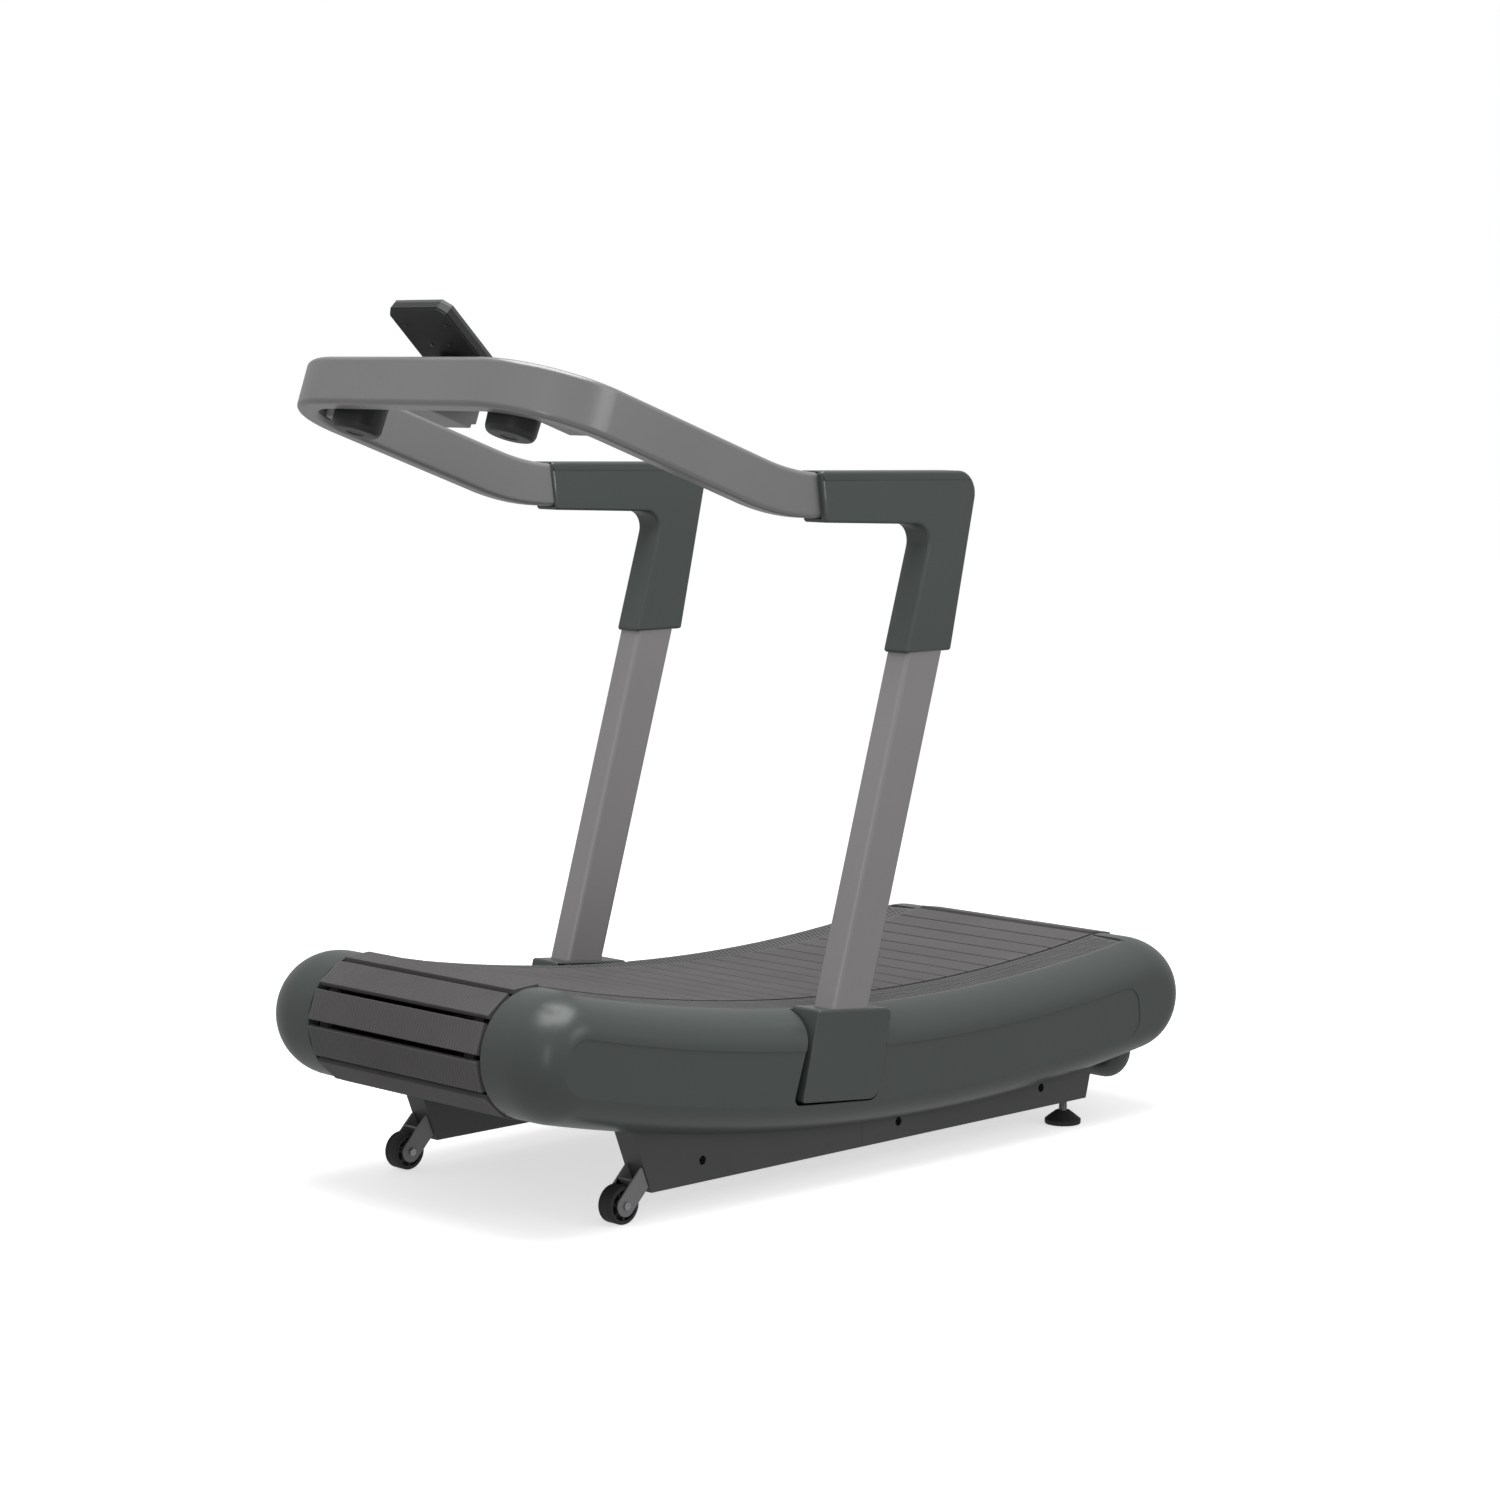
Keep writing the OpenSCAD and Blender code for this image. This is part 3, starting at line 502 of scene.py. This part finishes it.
def cover_mesh():
    stations = cover_stations()
    rings = []
    for y, z, uy, uz, run in stations:
        line = (OUT_RUN if run else OUT_CAP)[::-1] + (IN_RUN if run else IN_CAP)
        rings.append([(x, y + uy * (COVER_HALF - d), z + uz * (COVER_HALF - d)) for x, d in line])
    n = len(rings[0])
    verts = [p for r in rings for p in r]
    faces = []
    m = len(rings)
    for i in range(m):
        a, b = i * n, ((i + 1) % m) * n
        for j in range(n - 1):
            faces.append((a + j, a + j + 1, b + j + 1, b + j))
    faces.append(tuple(i * n for i in range(m)))
    faces.append(tuple(i * n + n - 1 for i in range(m - 1, -1, -1)))
    return verts, faces


def rail_outline(g):
    """Rail side outline in (y, z) without the shift."""
    out = [(-560 + 0.7 * g, 50 + g), (634 - 0.9 * g, 50 + g), (653 - g, 118), (660 - g, 150)]
    for i in range(11):
        y = 660 - g - i * (1272 - 2 * g) / 10
        out.append((y, CZ - math.sqrt((RAIL_TOP_R + g) ** 2 - (y - 200) ** 2)))
    return out + [(-609 + g, 178)]


def recess_outline():
    """The shallow panel in the cover's side, rounded where it is unrolled and bent to the deck's arc."""
    s0 = R_MID * math.asin((-819 - 200) / R_MID)
    s1 = R_MID * math.asin((713 - 200) / R_MID)
    flat = rounded([(s0, -45, 38), (s1, -45, 38), (s1, 57, 38), (s0, 57, 38)], 10)
    dense = []
    for i, p in enumerate(flat):
        q = flat[(i + 1) % len(flat)]
        k = max(1, int(abs(q[0] - p[0]) / 25))
        dense += [(p[0] + (q[0] - p[0]) * j / k, p[1] + (q[1] - p[1]) * j / k) for j in range(k)]
    return [(CY + (R_MID + t) * math.sin(s / R_MID), CZ - (R_MID + t) * math.cos(s / R_MID)) for s, t in dense]


cover = make("cover", *cover_mesh(), sharp=30)
handle_hole = make("hole", *lathe([(0.001, 60), (21.5, 60), (21.5, 200), (0.001, 200)],
                                  lambda u, v, h: (297.5 + u, 781 + SHIFT + v, h), 64))
notch = rounded([(-189, 420, 0), (11.4, 420, 0), (-51.9, 157, 22), (-272, 176, 14)])
cut(cover, [
    prism_x("c1", recess_outline(), 400.6, 404, 0),
    prism_x("c2", rail_outline(-1.2), 276.2, 330.5),
    prism_x("c3", notch, 329.7, 420),
    handle_hole,
], sharp=32)
pair(cover, "right_side_cover")


# ---------------------------------------------------------------- tread strips
def strip_mesh():
    """Base skin, plain borders, and three staggered rows of slanted grip blocks, all inside the CAD strip."""
    def level(x):
        return PANEL_R + 3.9 * (x - 245.4) / 84.1

    def at(s, x, lift):
        a = s / 4004
        r = level(x) + lift
        return (x, CY + r * math.sin(a), CZ - r * math.cos(a))

    s0, s1 = 4004 * A_FRONT + 0.8, 4004 * A_REAR - 0.8
    line = [(245.6, 2.9), (245.4, 0.8), (246.2, 0), (250.4, 0), (251.2, 1.9), (322.2, 1.9), (323.0, 0), (328.4, 0),
            (329.3, 0.8), (329.3, 2.9)]
    base = loft([[at(s0 + (s1 - s0) * i / 120, x, d) for x, d in line] for i in range(121)])
    parts = [base]
    rows, pitch, width, slant = 3, 10.4, 6.0, 12.0
    span = (321.8 - 251.8) / rows
    count = int((s1 - s0 - 20) / pitch)
    for row in range(rows):
        x0 = 251.8 + row * span + 0.9
        x1 = x0 + span - 1.8
        for k in range(count):
            s = s0 + 8 + (k + 0.5 * (row % 2)) * pitch
            foot = [(s, x0), (s + width, x0), (s + width + slant, x1), (s + slant, x1)]
            cs = sum(p[0] for p in foot) / 4
            cx = (x0 + x1) / 2
            top = [(cs + (p[0] - cs) * 0.82, cx + (p[1] - cx) * 0.88) for p in foot]
            v = [at(p[0], p[1], 2.0) for p in foot] + [at(p[0], p[1], 0.02) for p in top]
            parts.append((v, [(0, 1, 5, 4), (1, 2, 6, 5), (2, 3, 7, 6), (3, 0, 4, 7), (4, 5, 6, 7)]))
    return joined(parts)


strip = make("strip", *strip_mesh(), sharp=25)
pair(strip, "right_tread_strip")


# ---------------------------------------------------------------- uprights and their foot covers
LEAN = rad(16.65)
UPR_X, UPR_Y, UPR_Z = 372.6, -118.75 + SHIFT, 341.0
UPR_W, UPR_D = 56.6, 94.0


def upright_at(u, v, length):
    return (UPR_X + u, UPR_Y + v * math.cos(LEAN) + length * math.sin(LEAN),
            UPR_Z - v * math.sin(LEAN) + length * math.cos(LEAN))


def section(w, d, r, n=8):
    return rounded([(-w / 2, -d / 2, r), (w / 2, -d / 2, r), (w / 2, d / 2, r), (-w / 2, d / 2, r)], n)


def upright_prism(name, w, d, r, low, high, level_top=None):
    rings = []
    for k in range(7):
        ring = []
        for u, v in section(w, d, r):
            top = high if level_top is None else (level_top - UPR_Z + v * math.sin(LEAN)) / math.cos(LEAN)
            ring.append(upright_at(u, v, low + (top - low) * k / 6))
        rings.append(ring)
    return make(name, *loft(rings), sharp=35)


upright = upright_prism("upright", UPR_W, UPR_D, 10, -140, 0, level_top=1238)
pair(upright, "right_upright")

boot = prism_x("boot", rounded([(-208, 347.5, 6), (-12, 328, 14), (-52.5, 159.5, 24), (-249, 178.5, 5)], 12), 332, 405)
bevel(boot, 5, 5)
applied(boot)
cut(boot, [
    prism_x("b1", [(-203, 342.5), (-17, 324), (-56.5, 164), (-244, 182.5)], 331, 400.8),
    upright_prism("b2", UPR_W + 1, UPR_D + 1, 10.5, -40, 90),
])
pair(boot, "right_foot_cover")

# ---------------------------------------------------------------- handlebar and its side covers
BAR_X, BAR_H, BAR_T, BAR_CORNER = 368.5, 90.0, 43.0, 160.0
LOOP_Y, LOOP_Z, TILT = -841.0, 1496.7, rad(19.5)


def side_z(y):
    if y > -190:
        return 1292.3 - 0.03 * (y + 190)
    if y > -350:
        return 1292.3 + 0.03 * (-190 - y) + 0.324 / 320 * (-190 - y) ** 2
    return LOOP_Z - (y - LOOP_Y) * math.tan(TILT)


def side_slope(y):
    if y > -190:
        return rad(1.72)
    if y > -350:
        return math.atan(0.03 + 0.324 / 160 * (-190 - y))
    return TILT


def side_h(y):
    if y > -190:
        return 83 / 90
    if y > -350:
        return (83 + 7 * (-190 - y) / 160) / 90
    return 1.0


def bar_stations():
    ys = [190, 60, -100, -190] + [-190 - 8 * i for i in range(1, 20)] + [-350, -400, -500, -600, -660]
    half = []
    for y in ys:
        sl, h = side_slope(y), side_h(y)
        half.append((Vector((BAR_X, y, side_z(y))), Vector((1, 0, 0)), Vector((0, math.sin(sl), math.cos(sl))) * h))
    for i in range(1, 37):
        a = math.pi / 2 * i / 36
        v = BAR_CORNER * (1 - math.sin(a))
        half.append((Vector((BAR_X - BAR_CORNER * (1 - math.cos(a)), LOOP_Y + v * math.cos(TILT), LOOP_Z - v * math.sin(TILT))),
                     Vector((math.cos(a), -math.sin(a) * math.cos(TILT), math.sin(a) * math.sin(TILT))),
                     Vector((0, math.sin(TILT), math.cos(TILT)))))
    full = list(half)
    for c, o, u in reversed(half):
        full.append((Vector((-c.x, c.y, c.z)), Vector((-o.x, o.y, o.z)), u))
    return full


bar_rings = []
for c, o, u in bar_stations():
    bar_rings.append([tuple(c + o * p + u * q + Vector((0, SHIFT, 0))) for p, q in section(BAR_T, BAR_H, 10, 8)])
bar = make("handlebar_piece", *loft(bar_rings), sharp=40)
finish_piece(bar, "handlebar")

grip = prism_x("grip", rounded([(-204, 1337.5, 7), (222, 1328.5, 44), (144.5, 992, 6), (20.5, 992, 6), (93, 1231, 34),
                                (-191, 1243, 7)], 14), 341.5, 403.5)
bevel(grip, 7, 6)
applied(grip)
CHANNEL_HALF, CHANNEL_Y = 42.9, (-225, -190, 0, 192)
bar_channel = [(y, side_z(y) + CHANNEL_HALF) for y in CHANNEL_Y]
bar_channel += [(y, side_z(y) - CHANNEL_HALF) for y in reversed(CHANNEL_Y)]
UP_LOW, UP_HIGH, UP_HALF = 980, 1239.3, 49.6
upright_channel = [(-118.75 + math.tan(LEAN) * (z - 341) + w, z)
                   for z, w in ((UP_LOW, -UP_HALF), (UP_LOW, UP_HALF), (UP_HIGH, UP_HALF), (UP_HIGH, -UP_HALF))]


def parting_cutter():
    """A thin frame that leaves a fine groove all round the moulding, 17 mm under its top edge."""
    def slab(x0, x1, y0, y1):
        return [[(x, y + SHIFT, 1320.2 - 0.0211 * (y + 204) + dz) for x, y in ((x0, y0), (x1, y0), (x1, y1), (x0, y1))]
                for dz in (-0.4, 0.4)]
    outer, inner = slab(335, 410, -215, 235), slab(342.6, 402.4, -202.6, 215)
    verts = [p for r in outer + inner for p in r]
    faces = []
    for j in range(4):
        k = (j + 1) % 4
        faces += [(j, k, 4 + k, 4 + j), (8 + j, 12 + j, 12 + k, 8 + k), (j, 8 + j, 8 + k, k), (4 + j, 4 + k, 12 + k, 12 + j)]
    return make("groove", verts, faces)


cut(grip, [
    prism_x("g1", bar_channel, BAR_X - BAR_T / 2 - 0.6, BAR_X + BAR_T / 2 + 0.6),
    prism_x("g2", upright_channel, 343.9, 401.3),
    parting_cutter(),
], sharp=30)
pair(grip, "right_handle_cover")


# ---------------------------------------------------------------- cups
def loop_at(x, v, w):
    return (x, LOOP_Y + SHIFT + v * math.cos(TILT) + w * math.sin(TILT), LOOP_Z - v * math.sin(TILT) + w * math.cos(TILT))


def arc(cr, cz, r, a0, a1, n=5):
    return [(cr + r * math.cos(rad(a0 + (a1 - a0) * i / n)), cz + r * math.sin(rad(a0 + (a1 - a0) * i / n)))
            for i in range(n + 1)]


cup_line = ([(0.01, 1.2), (11.4, 1.2), (12, 0.5), (12.6, 1.2), (17, 1.2), (18, 0)] + [(36, 0), (39.5, 0.9), (42.3, 2.8), (44.4, 5.8),
            (45.7, 9), (46.4, 12), (48.95, 82), (49, 86.2), (53, 86.2), (54, 87.2)] + arc(53, 89, 1, 0, 90) +
            arc(46.5, 89, 1, 90, 180) + [(43, 14), (42.4, 10), (41, 7), (38.9, 5), (36, 4), (0.01, 4)])
cup = make("cup", *lathe(cup_line, lambda u, v, h: loop_at(216 + u, 83 + v, -68 + h), 112), sharp=28)
pair(cup, "right_cup_holder")

# ---------------------------------------------------------------- wheels and feet
tyre_line = ([(31.2, -17), (31.4, -17)] + arc(31.9, -13.6, 3.4, -90, 0, 8) + [(35.3, -9.2), (34.6, -8.6), (34.6, -7.6), (35.3, -7),
             (35.3, 7), (34.6, 7.6), (34.6, 8.6), (35.3, 9.2)] + arc(31.9, 13.6, 3.4, 0, 90, 8) + [(31.4, 17), (31.2, 17)])
tyre = make("tyre", *lathe(tyre_line, on_x(WHEEL_X, WHEEL_Y, WHEEL_Z), 96), sharp=28)
pair(tyre, "right_wheel_tyre")


def stem_mesh():
    """A levelling stem with a real thread of 2.5 mm pitch."""
    lead, segs, per = 2.5, 40, 8

    def plain(z):
        return [(FOOT_X + 6.6 * math.cos(a), FOOT_Y + 6.6 * math.sin(a), z)
                for a in (2 * math.pi * j / segs for j in range(segs))]

    rings = [plain(8.0)]
    steps = int((104 - 11) / lead * per)
    for i in range(steps + 1):
        z = 11 + lead * i / per
        ring = []
        for j in range(segs):
            a = 2 * math.pi * j / segs
            f = (z / lead - j / segs) % 1.0
            saw = 1 - abs(2 * f - 1)
            r = 7.15 + 1.33 * min(1.0, max(0.0, saw * 1.35 - 0.18))
            ring.append((FOOT_X + r * math.cos(a), FOOT_Y + r * math.sin(a), z))
        rings.append(ring)
    rings.append(plain(106.0))
    return loft(rings)


stem = make("stem", *stem_mesh(), sharp=60)
pair(stem, "right_foot_stem")


def pad_mesh():
    """The rubber pad, with a vertical rim and 16 flats up its cone."""
    line = [(0.01, 0), (34.4, 0), (35.6, 0.4), (36.3, 1.4), (36.5, 2.6), (36.5, 9.4), (36.1, 10.1), (26.6, 17.7), (25.4, 18.6),
            (15.4, 26.2), (14, 27), (9.6, 27), (8.7, 26.4), (8.7, 9.9), (7.2, 7.9), (0.01, 7.9)]
    segs, flats = 96, 16
    rings = []
    for i in range(segs):
        a = 2 * math.pi * i / segs
        part = (a * flats / (2 * math.pi)) % 1.0 - 0.5
        k = math.cos(math.pi / flats) / math.cos(2 * math.pi * part / flats)
        ring = []
        for r, h in line:
            q = k if 10.0 < h and r > 13 else 1.0
            ring.append((FOOT_X + r * q * math.cos(a), FOOT_Y + r * q * math.sin(a), h))
        rings.append(ring)
    return loft(rings, closed_path=True)


pad = make("pad", *pad_mesh(), sharp=14)
pair(pad, "right_foot_pad")


# ---------------------------------------------------------------- rear lifting handle
def tube(path, radius, segs=40):
    rings = []
    for i, p in enumerate(path):
        t = (path[min(i + 1, len(path) - 1)] - path[max(i - 1, 0)]).normalized()
        side = Vector((0, 1, 0))
        up_ = t.cross(side).normalized()
        rings.append([tuple(p + side * radius * math.cos(2 * math.pi * j / segs)
                            + up_ * radius * math.sin(2 * math.pi * j / segs)) for j in range(segs)])
    return loft(rings)


hy = 781 + SHIFT
path = [Vector((297.5, hy, 180.9)), Vector((297.5, hy, 150)), Vector((297.5, hy, 127))]
path += [Vector((252.5 + 45 * math.cos(a), hy, 127 - 45 * math.sin(a))) for a in (math.pi / 2 * i / 20 for i in range(1, 21))]
path += [Vector((x, hy, 82)) for x in (170, 85, 0)]
path += [Vector((-p.x, p.y, p.z)) for p in reversed(path[:-1])]
finish_piece(make("rear_handle_piece", *tube(path, 20), sharp=40), "rear_handle")


# ---------------------------------------------------------------- keys: slightly domed caps
def console_at(x, y, z):
    """A point drawn on the console: x across, y up its slope, z out of the display."""
    c = math.sqrt(0.5)
    return (x, -807 + SHIFT + 0.70711 * 160 - y * c + z * c, 1643.5 - 0.70711 * 160 + y * c + z * c)


key_line = ([(0.01, 1.05), (5, 1.12), (7.2, 1.3)] + arc(8.2, 0.6, 0.8, 90, 0) + [(9, -4.9), (11, -4.9), (11, -6.4), (0.01, -6.4)])
for key, x in (("mode_button", -42), ("start_button", 0), ("stop_button", 42)):
    finish_piece(make(key + "_piece", *lathe(key_line, lambda u, v, h, x=x: console_at(x + u, 26 + v, h), 48), sharp=28), key)

# ---------------------------------------------------------------- everything else keeps its CAD shape with finished edges
for name, width, seg in (
    ("top_belts", 0.6, 2), ("rear_wrap_belts", 0.6, 2), ("bottom_belts", 0.6, 2), ("front_wrap_belts", 0.6, 2),
    ("front_shaft", 0, 1), ("rear_shaft", 0, 1), ("front_pulleys", 0.5, 2), ("rear_pulleys", 0.5, 2),
    ("drum_bearing_units", 2.0, 3), ("left_side_plate", 0.7, 2), ("right_side_plate", 0.7, 2),
    ("left_guide_bearings", 1.0, 3), ("right_guide_bearings", 1.0, 3), ("guide_bearing_studs", 0.5, 2),
    ("cross_members", 1.5, 3), ("left_front_rail", 2.2, 3), ("left_rear_rail", 2.2, 3), ("right_front_rail", 2.2, 3),
    ("right_rear_rail", 2.2, 3), ("rail_bolts", 0.5, 2), ("upright_brackets", 1.0, 2), ("accessory_tray", 0.9, 3),
    ("console_mount", 3.0, 4), ("console_back", 1.6, 3), ("console_face", 1.4, 3), ("console_display", 0.4, 2),
    ("console_screws", 0.4, 2), ("left_wheel_fork", 0.7, 3), ("right_wheel_fork", 0.7, 3), ("left_wheel_hub", 0.6, 2),
    ("right_wheel_hub", 0.6, 2), ("wheel_axles", 0.6, 2), ("foot_nuts", 0.9, 2),
):
    refine(name, width, seg)

# ---------------------------------------------------------------- floor, light and camera
bpy.ops.mesh.primitive_plane_add(size=60, location=(0, 0, -0.0006))
floor = bpy.context.object
floor.name = "studio_floor"
pale = surface("pale_floor", (0.86, 0.86, 0.86), rough=0.9, rough_var=0.03, mottle=(0.5, 0.01), grain=(60, 0.02, 0.0005), specular=0.1)
glow = next(n for n in pale.node_tree.nodes if n.type == "BSDF_PRINCIPLED")
glow.inputs["Emission Color"].default_value = (1, 1, 1, 1)
glow.inputs["Emission Strength"].default_value = 0.62
floor.data.materials.append(pale)
floor.visible_diffuse = False
floor.visible_glossy = False

world = bpy.data.worlds.new("studio")
bpy.context.scene.world = world
world.use_nodes = True
wt = world.node_tree
seen = node(wt, "ShaderNodeLightPath").outputs["Is Camera Ray"]
level = remap(wt, seen, 0.0, 1.0, 0.46, 1.0)
wt.links.new(level, wt.nodes["Background"].inputs["Strength"])
wt.nodes["Background"].inputs["Color"].default_value = (1, 1, 1, 1)


def area_light(name, where, target, size, power):
    d = bpy.data.lights.new(name, "AREA")
    d.shape = "RECTANGLE"
    d.size, d.size_y = size
    d.energy = power
    o = bpy.data.objects.new(name, d)
    o.location = where
    o.rotation_euler = (Vector(target) - Vector(where)).to_track_quat("-Z", "Y").to_euler()
    bpy.context.scene.collection.objects.link(o)
    return o


area_light("top_softbox", (0.4, -0.4, 4.2), (0, 0, 0.4), (3.2, 3.2), 165)
area_light("side_softbox", (4.4, 1.4, 2.4), (0.3, 0.1, 0.5), (1.8, 1.8), 20)
area_light("front_strip", (3.6, -4.2, 1.6), (0.35, 0, 0.9), (0.25, 2.5), 14)

cam = bpy.data.cameras.new("camera")
cam.sensor_width = 36
cam.lens = 86.41
cam.clip_end = 300
cam_obj = bpy.data.objects.new("camera", cam)
cam_obj.location = (5.0023, -4.8492 + SHIFT * MM, 1.5539)
cam_obj.rotation_euler = (rad(90 - 6.328), 0, rad(45.854))
bpy.context.scene.collection.objects.link(cam_obj)
bpy.context.scene.camera = cam_obj
bpy.context.scene.view_settings.view_transform = "Standard"

bpy.context.view_layer.update()
